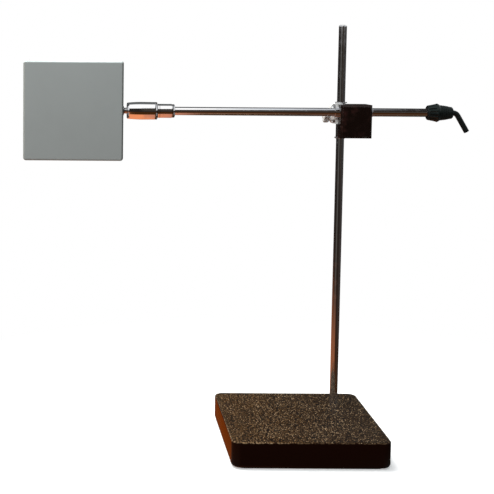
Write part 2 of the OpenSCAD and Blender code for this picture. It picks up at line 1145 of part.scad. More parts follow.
// A blackened wall that keeps stray light from the slit off the detector
module light_baffle() {
    color(anodised)
        at_head()
            translate([-18, bench_top, 30]) {
                cube([1, 17, 22]);
                cube([5, 1, 22]);
            }
}

// ---- Electronics ----

board_left = 29;
board_bottom = -44;
board_size = [23, 74];

module standoff_places() {
    for (x = [3, board_size[0] - 3], z = [3, board_size[1] - 3])
        translate([board_left + x, 0, board_bottom + z])
            children();
}

module interface_board() {
    top = board_y + board_thick;
    color(board_green)
        at_head() {
            difference() {
                translate([board_left, board_y, board_bottom])
                    cube([board_size[0], board_thick, board_size[1]]);
                standoff_places()
                    peg_y(board_y - 1, top + 1, 1.1);
            }
            translate([board_left + 6, top - 0.5, board_bottom + 10])
                cube([10, 1.6, 10]);
            translate([board_left + 7, top - 0.5, board_bottom + 56])
                cube([7, 1.5, 9]);
        }
}

module board_standoffs() {
    color(nylon)
        at_head()
            standoff_places() {
                peg_y(bench_top, board_y, 2);
                peg_y(bench_top, board_y + board_thick + 1.2, 1);
            }
}

module lead_connector() {
    top = board_y + board_thick;
    color(nylon)
        at_head()
            difference() {
                translate([board_left + 9, top, -6])
                    cube([8, 8, 12]);
                peg_x(board_left + 15, board_left + 18, lead_r);
            }
}

module head_lead() {
    color(rubber)
        at_head()
            peg_x(board_left + 15, head_reach + ball_x, lead_r);
}

// ---- Output ----

base_pad();
base_plate();
support_rod();
rod_washer();
rod_nut();
rod_liner();
rod_liner_clip();
cross_block();
rod_saddle();
saddle_screws();
rod_lock_pad();
rod_lock_knob();
arm_lock_pad();
arm_lock_knob();
arm_liner();
arm_liner_clip();
arm_tube();
socket_shank();
socket_barrel();
front_seat();
rear_seat();
swivel_ball();
stud_nut();
gland_body();
gland_seal();
gland_nut();
gland_boot();
arm_cable();
head_housing();
head_bush();
rear_cover();
cover_gasket();
cover_screws();
entrance_bezel();
bezel_screws();
entrance_window();
optical_bench();
bench_screws();
mount_screws();
fold_mirror();
fold_mirror_mount();
slit_plate();
slit_holder();
collimating_mirror();
collimator_mount();
grating();
grating_mount();
focusing_mirror();
focusing_mount();
detector();
detector_board();
detector_bracket();
light_baffle();
interface_board();
board_standoffs();
lead_connector();
head_lead();
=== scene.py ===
"""Looks of the spectroscope: finer pieces around the CAD frame, materials, studio and camera.

Metres, +Z up, +X right and +Y away from the blank front of the head, as in the CAD frame.
"""

import math

import bpy
from mathutils import Matrix, Vector


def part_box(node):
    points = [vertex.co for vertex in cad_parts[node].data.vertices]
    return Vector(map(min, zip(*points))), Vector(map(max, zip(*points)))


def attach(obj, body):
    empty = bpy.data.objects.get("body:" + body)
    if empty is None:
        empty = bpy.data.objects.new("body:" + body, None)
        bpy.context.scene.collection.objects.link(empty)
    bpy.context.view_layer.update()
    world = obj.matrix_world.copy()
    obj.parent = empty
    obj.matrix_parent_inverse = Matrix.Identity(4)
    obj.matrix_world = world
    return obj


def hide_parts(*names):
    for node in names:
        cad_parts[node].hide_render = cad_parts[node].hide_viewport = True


MM = 0.001
X, Y, Z = Vector((1, 0, 0)), Vector((0, 1, 0)), Vector((0, 0, 1))

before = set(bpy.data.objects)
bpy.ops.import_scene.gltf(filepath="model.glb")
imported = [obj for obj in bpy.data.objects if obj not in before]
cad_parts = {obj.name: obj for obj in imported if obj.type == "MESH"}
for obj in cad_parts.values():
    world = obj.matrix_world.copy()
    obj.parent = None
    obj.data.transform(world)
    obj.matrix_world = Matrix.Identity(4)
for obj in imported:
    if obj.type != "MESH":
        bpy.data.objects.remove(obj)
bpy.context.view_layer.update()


def middle(node):
    low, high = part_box(node)
    return (low + high) / 2


ROD = middle("support_rod")
ARM = middle("arm_tube")
CABLE = (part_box("arm_cable")[1].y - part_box("arm_cable")[0].y) / 2


# ---- Mesh helpers ----


def piece(name, verts, faces, material, sharp_angle=32):
    """A shown mesh object whose edges are sharp where its faces meet at more than sharp_angle."""
    mesh = bpy.data.meshes.new(name)
    mesh.from_pydata([tuple(v) for v in verts], [], faces)
    mesh.validate()
    mesh.update()
    mesh.polygons.foreach_set("use_smooth", [True] * len(mesh.polygons))
    mesh.set_sharp_from_angle(angle=math.radians(sharp_angle))
    obj = bpy.data.objects.new(name, mesh)
    bpy.context.scene.collection.objects.link(obj)
    if material:
        mesh.materials.append(material)
    return obj


def stand_for(obj, node, body):
    """The piece rides on the body and is shown in place of the CAD node."""
    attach(obj, body)
    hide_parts(node)
    return obj


def arc(along, radius, size, start, end, steps=6):
    """Points of a circular arc in a turned profile, from start to end degrees."""
    points = []
    for i in range(steps + 1):
        angle = math.radians(start + (end - start) * i / steps)
        points.append((along + size * math.cos(angle), radius + size * math.sin(angle)))
    return points


def lathe(profile, origin, axis, segments=96, shape=None):
    """Vertices and faces of (distance, radius) points turned about a line.

    shape(angle, distance, radius) may return another radius, for flutes and knurls."""
    side = axis.orthogonal().normalized()
    up = axis.cross(side)
    verts, rings = [], []
    for along, radius in profile:
        if radius < 1e-7:
            verts.append(origin + axis * along)
            rings.append([len(verts) - 1])
            continue
        ring = []
        for i in range(segments):
            angle = 2 * math.pi * i / segments
            r = shape(angle, along, radius) if shape else radius
            ring.append(len(verts))
            verts.append(origin + axis * along + (side * math.cos(angle) + up * math.sin(angle)) * r)
        rings.append(ring)
    faces = []
    for a, b in zip(rings, rings[1:]):
        for i in range(segments):
            j = (i + 1) % segments
            quad = [a[i % len(a)], b[i % len(b)], b[j % len(b)], a[j % len(a)]]
            corners = list(dict.fromkeys(quad))
            if len(corners) > 2:
                faces.append(corners)
    return verts, faces


def add(parts):
    """Several (vertices, faces) pairs as one."""
    verts, faces = [], []
    for more_verts, more_faces in parts:
        start = len(verts)
        verts += more_verts
        faces += [[start + i for i in face] for face in more_faces]
    return verts, faces


def outline(half_width, half_height, corner, steps=8):
    """A rounded rectangle, anticlockwise."""
    points = []
    for quarter, (sx, sy) in enumerate(((1, 1), (-1, 1), (-1, -1), (1, -1))):
        for i in range(steps + 1):
            angle = math.radians(90 * (quarter + i / steps))
            points.append((
                sx * (half_width - corner) + corner * math.cos(angle),
                sy * (half_height - corner) + corner * math.sin(angle),
            ))
    return points


def fillet(low, high, round_low, round_high, steps=6):
    """(inset, height) rings up a wall whose lower and upper edges are rounded."""
    rings = []
    for i in range(steps + 1):
        angle = math.pi / 2 * i / steps
        rings.append((round_low * (1 - math.sin(angle)), low + round_low * (1 - math.cos(angle))))
    for i in range(steps + 1):
        angle = math.pi / 2 * i / steps
        rings.append((round_high * (1 - math.cos(angle)), high - round_high * (1 - math.sin(angle))))
    return rings


def slab(half_width, half_height, corner, rings, place):
    """A closed plate with a rounded-rectangle outline; place(x, y, height) gives each point's spot."""
    verts, faces = [], []
    count = 0
    for inset, height in rings:
        points = outline(half_width - inset, half_height - inset, max(corner - inset, 0.2 * MM))
        count = len(points)
        verts += [place(x, y, height) for x, y in points]
    for ring in range(len(rings) - 1):
        for i in range(count):
            j = (i + 1) % count
            a, b = ring * count, (ring + 1) * count
            faces.append([a + i, a + j, b + j, b + i])
    faces.append(list(range(count))[::-1])
    faces.append([(len(rings) - 1) * count + i for i in range(count)])
    return verts, faces


# ---- Material helpers ----


class Look:
    """A node material under construction, with the object's own coordinates as texture space."""

    def __init__(self, name, colour, roughness, metallic=0.0):
        self.material = bpy.data.materials.new(name)
        self.material.use_nodes = True
        self.material.diffuse_color = (*colour, 1)
        self.tree = self.material.node_tree
        self.tree.nodes.clear()
        out = self.node("ShaderNodeOutputMaterial")
        self.shader = self.node("ShaderNodeBsdfPrincipled")
        self.link(self.shader.outputs["BSDF"], out.inputs["Surface"])
        self.set("Base Color", (*colour, 1))
        self.set("Roughness", roughness)
        self.set("Metallic", metallic)
        self.coords = self.node("ShaderNodeTexCoord").outputs["Object"]

    def node(self, kind, **settings):
        made = self.tree.nodes.new(kind)
        for key, value in settings.items():
            setattr(made, key, value)
        return made

    def link(self, source, target):
        self.tree.links.new(source, target)

    def set(self, socket, value):
        """Sets a shader input to a number, a colour or another node's output."""
        target = self.shader.inputs[socket]
        if isinstance(value, bpy.types.NodeSocket):
            self.link(value, target)
        else:
            target.default_value = value

    def noise(self, size, detail=2.0, rough=0.5, stretch=(1, 1, 1)):
        """Noise whose features are about `size` metres across."""
        mapping = self.node("ShaderNodeMapping")
        mapping.inputs["Scale"].default_value = [1 / (size * s) for s in stretch]
        self.link(self.coords, mapping.inputs["Vector"])
        made = self.node("ShaderNodeTexNoise")
        made.inputs["Scale"].default_value = 1
        made.inputs["Detail"].default_value = detail
        made.inputs["Roughness"].default_value = rough
        self.link(mapping.outputs["Vector"], made.inputs["Vector"])
        return made.outputs["Fac"]

    def cells(self, size, feature="F1"):
        made = self.node("ShaderNodeTexVoronoi", feature=feature)
        made.inputs["Scale"].default_value = 1 / size
        self.link(self.coords, made.inputs["Vector"])
        return made.outputs["Distance"]

    def cell_tone(self, size):
        """One random value for each cell of cells(size)."""
        made = self.node("ShaderNodeTexVoronoi", feature="F1")
        made.inputs["Scale"].default_value = 1 / size
        self.link(self.coords, made.inputs["Vector"])
        parts = self.node("ShaderNodeSeparateColor")
        self.link(made.outputs["Color"], parts.inputs[0])
        return parts.outputs[0]

    def span(self, value, low, high, to_low=0.0, to_high=1.0):
        """value mapped smoothly from low..high to to_low..to_high."""
        made = self.node("ShaderNodeMapRange", interpolation_type="SMOOTHSTEP")
        for socket, number in zip(("From Min", "From Max", "To Min", "To Max"),
                                  (low, high, to_low, to_high)):
            made.inputs[socket].default_value = number
        self.link(value, made.inputs["Value"])
        return made.outputs["Result"]

    def maths(self, operation, a, b):
        made = self.node("ShaderNodeMath", operation=operation)
        for socket, value in zip(made.inputs, (a, b)):
            if isinstance(value, bpy.types.NodeSocket):
                self.link(value, socket)
            else:
                socket.default_value = value
        return made.outputs["Value"]

    def mix(self, factor, a, b):
        """A colour between a and b."""
        made = self.node("ShaderNodeMix", data_type="RGBA")
        for socket, value in zip((made.inputs["Factor"], made.inputs[6], made.inputs[7]),
                                 (factor, a, b)):
            if isinstance(value, bpy.types.NodeSocket):
                self.link(value, socket)
            elif isinstance(value, (int, float)):
                socket.default_value = value
            else:
                socket.default_value = (*value, 1)
        return made.outputs[2]

    def bump(self, height, depth, strength=1.0):
        """Adds relief `depth` metres deep on top of any relief there is."""
        made = self.node("ShaderNodeBump")
        made.inputs["Strength"].default_value = strength
        made.inputs["Distance"].default_value = depth
        self.link(height, made.inputs["Height"])
        normal = self.shader.inputs["Normal"]
        if normal.is_linked:
            self.link(normal.links[0].from_socket, made.inputs["Normal"])
        self.link(made.outputs["Normal"], normal)

    def edge(self, radius):
        """1 on edges sharper than `radius` and 0 on flats."""
        rounded = self.node("ShaderNodeBevel", samples=4)
        rounded.inputs["Radius"].default_value = radius
        flat = self.node("ShaderNodeNewGeometry")
        dot = self.node("ShaderNodeVectorMath", operation="DOT_PRODUCT")
        self.link(rounded.outputs["Normal"], dot.inputs[0])
        self.link(flat.outputs["Normal"], dot.inputs[1])
        return self.span(dot.outputs["Value"], 0.995, 0.93)

    def facing(self, axis):
        """How far the surface faces along an axis, from -1 to 1."""
        flat = self.node("ShaderNodeNewGeometry")
        parts = self.node("ShaderNodeSeparateXYZ")
        self.link(flat.outputs["Normal"], parts.inputs[0])
        return parts.outputs[axis]

    def place(self):
        parts = self.node("ShaderNodeSeparateXYZ")
        self.link(self.coords, parts.inputs[0])
        return parts.outputs


# ---- Materials ----


def chrome(name="chrome", tone=0.80, roughness=0.07, painted_shade_ends=False):
    """Bright plating with faint smudges, fine polish lines and a few pits.

    With the ends flag set, the narrow faces that end a band turned about X are painted dark, as painted
    shade."""
    look = Look(name, (tone, tone, tone * 1.02), roughness, 1.0)
    smudge = look.noise(9 * MM, detail=4, rough=0.6)
    look.set("Roughness", look.span(smudge, 0.35, 0.75, roughness * 0.7, roughness * 2.2))
    pits = look.noise(0.7 * MM, detail=3)
    dull = look.span(pits, 0.70, 0.78)
    colour = look.mix(dull, (tone, tone, tone * 1.02), (0.35, 0.33, 0.31))
    if painted_shade_ends:
        own = look.node("ShaderNodeSeparateXYZ")
        look.link(look.node("ShaderNodeTexCoord").outputs["Normal"], own.inputs[0])
        endwise = look.maths("MULTIPLY", own.outputs["X"], own.outputs["X"])
        # Painted shade: faces that face along X are darkened to a near-black brown.
        colour = look.mix(look.span(endwise, 0.10, 0.28), colour, (0.10, 0.09, 0.08))
    look.set("Base Color", colour)
    look.bump(look.noise(1.2 * MM, detail=3), 0.01 * MM, 0.3)
    return look.material


def base_enamel():
    """Brown crinkle enamel on top, with painted light: lighter at the left end, painted highlights on the
    crests and painted shade in the creases. Smoother on the sides and painted far darker there as painted
    shade, with paler tan patches on the rounded top edge, most towards the front-left corner.
    """
    # Painted light: the top's colour where lit, at its left end, and where shaded, at its right.
    painted_lit_tone, painted_shade_tone = (0.098, 0.044, 0.010), (0.042, 0.021, 0.007)
    # Painted highlight colour for the crinkle's crests, and painted shade colour for its creases.
    crest_highlight, crease_shade = (0.76, 0.54, 0.33), (0.004, 0.002, 0.001)
    # The first colour here is the sides', painted far darker than the top as painted shade; the second is
    # the paler tan of the rounded top edge.
    side, edge_tan = (0.0118, 0.0032, 0.0016), (0.40, 0.26, 0.14)
    look = Look("base_enamel", painted_lit_tone, 0.45)
    up = look.facing("Z")
    is_top = look.span(up, 0.55, 0.92)
    blob = look.cells(2.3 * MM)
    tint = look.cell_tone(2.3 * MM)
    grain = look.noise(1.3 * MM, detail=2, rough=0.6)
    dome = look.span(blob, 0.62, 0.12)
    relief = look.maths("ADD", look.maths("MULTIPLY", dome, 0.6), look.maths("MULTIPLY", grain, 0.5))
    # Masks for the painted highlights on the crests and the painted shade in the creases.
    high = look.maths("MULTIPLY", look.span(relief, 0.57, 0.92), look.span(tint, 0.40, 0.95))
    low = look.span(relief, 0.53, 0.30)
    along, across, _ = look.place()
    patch = look.span(look.noise(30 * MM, detail=2), 0.35, 0.7)
    # Painted light: the top is lighter at its left end and darker towards the right, as if lit from the
    # left.
    tone = look.mix(look.span(along, -0.105, 0.10), painted_lit_tone, painted_shade_tone)
    tone = look.mix(patch, tone, look.mix(0.07, tone, crest_highlight))
    # Painted highlight on the crinkle's crests and painted shade in its creases.
    tone = look.mix(high, tone, crest_highlight)
    tone = look.mix(low, tone, crease_shade)
    # Paler tan in noisy patches on the rounded top edge, strongest towards the front-left corner.
    rim = look.maths("MULTIPLY", look.span(up, 0.10, 0.45), look.span(up, 0.97, 0.80))
    edge_patches = look.maths("MULTIPLY", rim, look.span(look.noise(3 * MM, detail=3), 0.42, 0.66))
    front_left_bias = look.span(look.maths("ADD", along, across), -0.10, -0.18, 0.15, 0.9)
    # Painted shade: the sides get a far darker colour than the top.
    tone = look.mix(is_top, side, tone)
    tone = look.mix(look.maths("MULTIPLY", edge_patches, front_left_bias), tone, edge_tan)
    look.set("Base Color", tone)
    look.set("Roughness", look.span(is_top, 0, 1, 0.24, 0.6))
    sideways = look.maths("MAXIMUM", look.facing("Y"), look.maths("MULTIPLY", look.facing("Y"), -1))
    shine = look.span(sideways, 0.05, 0.25, 0.38, 0.10)
    look.set("Specular IOR Level", look.maths("MULTIPLY", shine, look.span(is_top, 0, 1, 1, 0.35)))
    look.bump(look.maths("MULTIPLY", relief, look.span(is_top, 0, 1, 0.08, 1.0)), 1.2 * MM, 0.9)
    return look.material


def clamp_enamel():
    """Near-black enamel with faint red-brown smudges and paler grey patches along the edges."""
    look = Look("clamp_enamel", (0.010, 0.005, 0.004), 0.25)
    look.set("Specular IOR Level", 0.3)
    haze = look.noise(13 * MM, detail=2)
    look.set("Roughness", look.span(haze, 0.3, 0.75, 0.20, 0.36))
    # Paler grey in noisy patches along the edges.
    edge_patches = look.maths("MULTIPLY", look.edge(0.6 * MM), look.span(look.noise(2 * MM), 0.42, 0.62))
    tone = look.mix(look.span(haze, 0.52, 0.72), (0.009, 0.0038, 0.0026), (0.028, 0.009, 0.007))
    look.set("Base Color", look.mix(edge_patches, tone, (0.10, 0.085, 0.075)))
    look.bump(look.noise(1.1 * MM, detail=2), 0.012 * MM, 0.3)
    return look.material


def satin():
    """Pale blasted aluminium with faint stains, and edges painted dark as painted shade."""
    pale = (0.96, 0.96, 0.95)
    look = Look("satin_aluminium", pale, 0.42, 0.1)
    stain = look.span(look.noise(5 * MM, detail=3), 0.5, 0.75)
    tone = look.mix(stain, pale, (0.80, 0.79, 0.77))
    # Painted shade: the edges are darkened to near black.
    look.set("Base Color", look.mix(look.edge(0.8 * MM), tone, (0.06, 0.06, 0.06)))
    look.bump(look.noise(0.5 * MM, detail=2), 0.02 * MM, 0.4)
    return look.material


def head_enamel():
    """Flat cool grey enamel with a very fine orange peel, a painted highlight along the top front
    edge and painted shade down the right one."""
    grey = (0.475, 0.505, 0.495)
    look = Look("head_enamel", grey, 0.5)
    cloud = look.noise(45 * MM, detail=3)
    tone = look.mix(look.span(cloud, 0.3, 0.75), grey, tuple(c * 0.955 for c in grey))
    speck = look.span(look.noise(1.6 * MM, detail=2), 0.74, 0.80)
    tone = look.mix(look.maths("MULTIPLY", speck, 0.35), tone, (0.22, 0.22, 0.21))
    low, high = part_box("head_housing")
    right, away, up = look.place()
    front = look.span(away, low.y + 3.4 * MM, low.y + 2.8 * MM)
    # Painted highlight: the top front edge is painted pale.
    painted_top_highlight = look.maths("MULTIPLY", front, look.span(up, high.z - 3.3 * MM, high.z - 2.5 * MM))
    # Painted shade: the right front edge is painted dark.
    painted_right_shade = look.maths("MULTIPLY", front, look.span(right, high.x - 2.6 * MM, high.x - 1.4 * MM))
    tone = look.mix(painted_top_highlight, tone, (0.88, 0.97, 0.95))
    tone = look.mix(painted_right_shade, tone, (0.17, 0.18, 0.17))
    look.set("Base Color", tone)
    look.set("Roughness", look.span(cloud, 0.3, 0.7, 0.46, 0.58))
    look.bump(look.noise(0.8 * MM, detail=2), 0.03 * MM, 0.4)
    return look.material


def machined(name, colour, roughness, size=0.35):
    """Turned or milled metal: fine stretched tool lines and small dull spots."""
    look = Look(name, colour, roughness, 1.0)
    lines = look.noise(size * MM, detail=2, stretch=(6, 1, 1))
    look.set("Roughness", look.span(lines, 0.3, 0.7, roughness * 0.8, roughness * 1.4))
    stain = look.span(look.noise(5 * MM, detail=3), 0.55, 0.75)
    look.set("Base Color", look.mix(look.maths("MULTIPLY", stain, 0.4), colour,
                                    tuple(c * 0.6 for c in colour)))
    look.bump(lines, 0.01 * MM, 0.4)
    return look.material


def plastic(name, colour, roughness, grain=0.5):
    """Moulded plastic or rubber with a fine matt grain and some dust."""
    look = Look(name, colour, roughness)
    look.set("Specular IOR Level", 0.19)
    look.set("Specular Tint", (0.80, 0.98, 0.93, 1))
    fine = look.noise(grain * MM, detail=2)
    dust = look.span(look.noise(4 * MM, detail=4), 0.55, 0.8)
    look.set("Base Color", look.mix(look.maths("MULTIPLY", dust, 0.25), colour,
                                    tuple(min(1, c * 1.6 + 0.02) for c in colour)))
    look.set("Roughness", look.span(fine, 0.3, 0.7, roughness * 0.85, min(1, roughness * 1.2)))
    look.bump(fine, 0.04 * MM, 0.4)
    return look.material


def silvered():
    look = Look("silvered_glass", (0.92, 0.93, 0.94), 0.03, 1.0)
    look.set("Roughness", look.span(look.noise(6 * MM, detail=3), 0.4, 0.8, 0.02, 0.08))
    return look.material


def ruled():
    """The grating's ruled face spreads the light into bands of colour."""
    look = Look("ruled_glass", (0.85, 0.86, 0.9), 0.12, 1.0)
    ramp = look.node("ShaderNodeValToRGB")
    stops = ((0.30, (0.5, 0.2, 0.8)), (0.45, (0.2, 0.5, 0.9)), (0.55, (0.3, 0.8, 0.4)),
             (0.65, (0.9, 0.8, 0.3)), (0.78, (0.9, 0.3, 0.2)))
    ramp.color_ramp.elements[0].position = stops[0][0]
    ramp.color_ramp.elements[0].color = (*stops[0][1], 1)
    ramp.color_ramp.elements[1].position = stops[-1][0]
    ramp.color_ramp.elements[1].color = (*stops[-1][1], 1)
    for position, colour in stops[1:-1]:
        ramp.color_ramp.elements.new(position).color = (*colour, 1)
    facing = look.node("ShaderNodeLayerWeight")
    look.link(facing.outputs["Facing"], ramp.inputs["Fac"])
    look.set("Base Color", look.mix(0.35, (0.85, 0.86, 0.9), ramp.outputs["Color"]))
    return look.material


def window_glass():
    look = Look("window_glass", (0.95, 0.98, 0.98), 0.02)
    look.set("Transmission Weight", 1.0)
    look.set("IOR", 1.5)
    look.set("Roughness", look.span(look.noise(5 * MM, detail=3), 0.4, 0.8, 0.01, 0.06))
    return look.material


def circuit():
    """Green laminate with copper tracks showing through the lacquer."""
    look = Look("circuit", (0.02, 0.13, 0.06), 0.35)
    tracks = look.node("ShaderNodeTexBrick")
    tracks.inputs["Scale"].default_value = 1 / (9 * MM)
    tracks.inputs["Mortar Size"].default_value = 0.06
    look.link(look.coords, tracks.inputs["Vector"])
    look.set("Base Color", look.mix(tracks.outputs["Fac"], (0.02, 0.13, 0.06), (0.05, 0.22, 0.09)))
    look.bump(tracks.outputs["Fac"], 0.04 * MM, 0.5)
    return look.material


MATERIALS = {
    "chrome": chrome(),
    "turned": chrome("turned_chrome", painted_shade_ends=True),
    "satin": satin(),
    "base": base_enamel(),
    "clamp": clamp_enamel(),
    "head": head_enamel(),
    "steel": machined("steel", (0.50, 0.50, 0.52), 0.28),
    "brass": machined("brass", (0.62, 0.44, 0.18), 0.30),
    "anodised": machined("anodised", (0.045, 0.045, 0.05), 0.38, size=0.6),
    "nylon": plastic("nylon", (0.72, 0.70, 0.64), 0.42),
    "rubber": plastic("rubber", (0.008, 0.010, 0.010), 0.5),
    "gland": plastic("gland_plastic", (0.007, 0.010, 0.010), 0.30),
    "mirror": silvered(),
    "ruled": ruled(),
    "glass": window_glass(),
    "circuit": circuit(),
}


# ---- Pieces rebuilt with rounded edges and finer form ----


def base_plate():
    low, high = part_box("base_plate")
    centre, half = (low + high) / 2, (high - low) / 2

    def place(x, y, height):
        return Vector((centre.x + x, centre.y + y, height))

    corner, lower_round, upper_round = 12 * MM, 5 * MM, 2.2 * MM
    rings = fillet(low.z, high.z, lower_round, upper_round)
    verts, faces = slab(half.x, half.y, corner, rings, place)
    stand_for(piece("base_casting", verts, faces, MATERIALS["base"]), "base_plate", "base")


def post():
    """The post's top is turned to a shallow dome with a small chamfer."""
    low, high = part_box("support_rod")
    radius = (high.x - low.x) / 2
    length = high.z - low.z
    shoulder = 2.2 * MM
    dome = arc(length - shoulder, radius - shoulder, shoulder, 90, 15, 8)
    profile = [(0, 0), (0, radius - MM), (MM, radius), *dome, (length, 0)]
    verts, faces = lathe(profile, Vector((ROD.x, ROD.y, low.z)), Z, 128)
    stand_for(piece("post_bar", verts, faces, MATERIALS["chrome"]), "support_rod", "base")


def boom():
    low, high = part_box("arm_tube")
    radius = (high.z - low.z) / 2
    length = high.x - low.x
    tube_wall = 1.5 * MM
    inner = radius - tube_wall
    profile = [(0, inner), (0, radius), (length, radius), (length, inner), (0, inner)]
    verts, faces = lathe(profile, Vector((low.x, ARM.y, ARM.z)), X, 128)
    stand_for(piece("boom_tube", verts, faces, MATERIALS["chrome"]), "arm_tube", "boom")


def barrel():
    """A slim cap that swells to its middle, with turned chamfers at both ends."""
    low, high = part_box("socket_barrel")
    length = high.x - low.x
    radius = (high.z - low.z) / 2
    socket, lip, lip_depth = 9.7 * MM, 8.2 * MM, 1.6 * MM
    chamfer = 1.1 * MM
    left_drop, right_drop = 1.05 * MM, 0.2 * MM
    steps = 14
    body = []
    for i in range(steps + 1):
        from_middle = 2 * i / steps - 1
        drop = left_drop * from_middle ** 2 if from_middle < 0 else right_drop * from_middle
        body.append((chamfer + i / steps * (length - 2 * chamfer), radius - drop))
    first, last = body[0][1], body[-1][1]
    profile = [
        (lip_depth, socket), (lip_depth, lip), (0, lip), (0, first - 1.2 * MM),
        (0.35 * MM, first - 0.45 * MM), *body,
        (length - 0.35 * MM, last - 0.45 * MM), (length, last - 1.3 * MM), (length, socket),
        (lip_depth, socket),
    ]
    verts, faces = lathe(profile, Vector((low.x, ARM.y, ARM.z)), X, 128)
    stand_for(piece("barrel_cap", verts, faces, MATERIALS["turned"]), "socket_barrel", "barrel")


def shank():
    """The shank's grip is cut with fine straight serrations between plain turned bands."""
    low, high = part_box("socket_shank")
    barrel_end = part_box("socket_barrel")[1].x
    length = high.x - low.x
    gap = 0.1 * MM
    start = barrel_end - low.x + gap
    radius = (high.z - low.z) / 2
    tube, way, mouth, boss = 5.75 * MM, 3.2 * MM, 5.5 * MM, 9.6 * MM
    mouth_depth, bore_depth = 4 * MM, 15 * MM
    narrow, serration, grooves = 0.5 * MM, 0.28 * MM, 54

    def outside(distance, step=0.0):
        return distance, radius - (narrow if distance > serrated[1] else 0) - step

    serrated = (start + 3.2 * MM, length - 4.2 * MM)

    def shape(angle, distance, r):
        if r > boss and serrated[0] < distance < serrated[1]:
            return r - serration * (0.5 + 0.5 * math.cos(grooves * angle))
        return r

    profile = [
        (0, mouth), (0, boss), (start, boss), outside(start, 0.9 * MM), outside(start + 0.5 * MM),
        outside(serrated[0] - 0.5 * MM), outside(serrated[0] - 0.2 * MM, 0.4 * MM),
        outside(serrated[0] + 0.1 * MM, 0.1 * MM), outside(serrated[1] - 0.1 * MM, 0.1 * MM),
        outside(serrated[1] + 0.2 * MM, 0.4 * MM), outside(serrated[1] + 0.5 * MM),
        outside(length - 1.4 * MM), outside(length - 0.4 * MM, 0.5 * MM), outside(length, 1.4 * MM),
        (length, tube), (length - bore_depth, tube), (length - bore_depth, way), (mouth_depth, way),
        (0, mouth),
    ]
    verts, faces = lathe(profile, Vector((low.x, ARM.y, ARM.z)), X, 216, shape)
    stand_for(piece("shank_body", verts, faces, MATERIALS["turned"]), "socket_shank", "boom")


def ball_and_stud():
    """A bored ball and stud, with a collar against the case's wall and a dished mouth."""
    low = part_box("swivel_ball")[0]
    ball = 8.5 * MM
    centre = (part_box("front_seat")[1].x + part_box("rear_seat")[0].x) / 2
    bore = 2.95 * MM
    neck = 4.25 * MM
    head_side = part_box("head_housing")[1].x
    wall = head_side - centre
    end = low.x - centre
    neck_angle = 180 - math.degrees(math.asin(neck / ball))
    mouth_angle = 36
    collar = neck + 2 * MM
    profile = [
        (end, bore), (end, neck - 0.4 * MM), (end + 0.4 * MM, neck), (wall + 0.05 * MM, neck),
        (wall + 0.05 * MM, collar - 0.3 * MM), (wall + 0.35 * MM, collar),
        (wall + 0.8 * MM, collar), (wall + 1.0 * MM, collar - 0.4 * MM),
        (wall + 1.0 * MM, neck + 0.5 * MM), (wall + 1.6 * MM, neck - 0.3 * MM),
        *arc(0, 0, ball, neck_angle, mouth_angle, 20), (0, bore), (end, bore),
    ]
    verts, faces = lathe(profile, Vector((centre, ARM.y, ARM.z)), X, 96)
    stand_for(piece("ball_stud", verts, faces, MATERIALS["steel"]), "swivel_ball", "ball")


def knob(name, node, body, axis, tip):
    """A thumbscrew: knurled head with a dished, chamfered face, a neck and the screw."""
    low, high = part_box(node)
    length = abs((high - low).dot(axis))
    across = Vector((1, 1, 1)) - Vector((abs(axis.x), abs(axis.y), abs(axis.z)))
    radius = max((high - low)[i] * across[i] for i in range(3)) / 2
    head = 7.5 * MM
    boss = 0.7 * MM
    screw = 3 * MM
    flute, flutes = 0.45 * MM, 30
    near = length - head

    def shape(angle, distance, r):
        if r > radius - 0.5 * MM and near + 1.3 * MM < distance < length - 1.3 * MM:
            return r - flute * (0.5 + 0.5 * math.cos(flutes * angle))
        return r

    threads = []
    for i in range(int((near - boss - 0.5 * MM) / MM)):
        threads += [(i * MM + 0.5 * MM, screw - 0.02 * MM), (i * MM + MM, screw - 0.45 * MM)]
    profile = [
        (0, 0), (0, screw - 0.6 * MM), *threads, (near - boss, screw - 0.4 * MM),
        (near - boss, screw + 1.5 * MM), (near, screw + 1.5 * MM), (near, radius - 1.2 * MM),
        (near + 1.2 * MM, radius - 0.1 * MM), (near + 1.4 * MM, radius),
        (length - 1.4 * MM, radius), (length - 1.2 * MM, radius - 0.1 * MM),
        (length, radius - 1.4 * MM), (length, radius - 2.4 * MM),
        (length - 0.7 * MM, radius - 3.4 * MM), (length - 0.7 * MM, 0),
    ]
    verts, faces = lathe(profile, tip, axis, 240, shape)
    stand_for(piece(name, verts, faces, MATERIALS["satin"]), node, body)


def knobs():
    """The two thumbscrews: the post's points left and the boom's points to the back."""
    rod_low, rod_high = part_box("rod_lock_knob")
    knob("post_thumbscrew", "rod_lock_knob", "rod_lock_screw", -X,
         Vector((rod_high.x, ROD.y, (rod_low.z + rod_high.z) / 2)))
    arm_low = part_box("arm_lock_knob")[0]
    knob("boom_thumbscrew", "arm_lock_knob", "arm_lock_screw", Y,
         Vector((middle("arm_lock_knob").x, arm_low.y, ARM.z)))


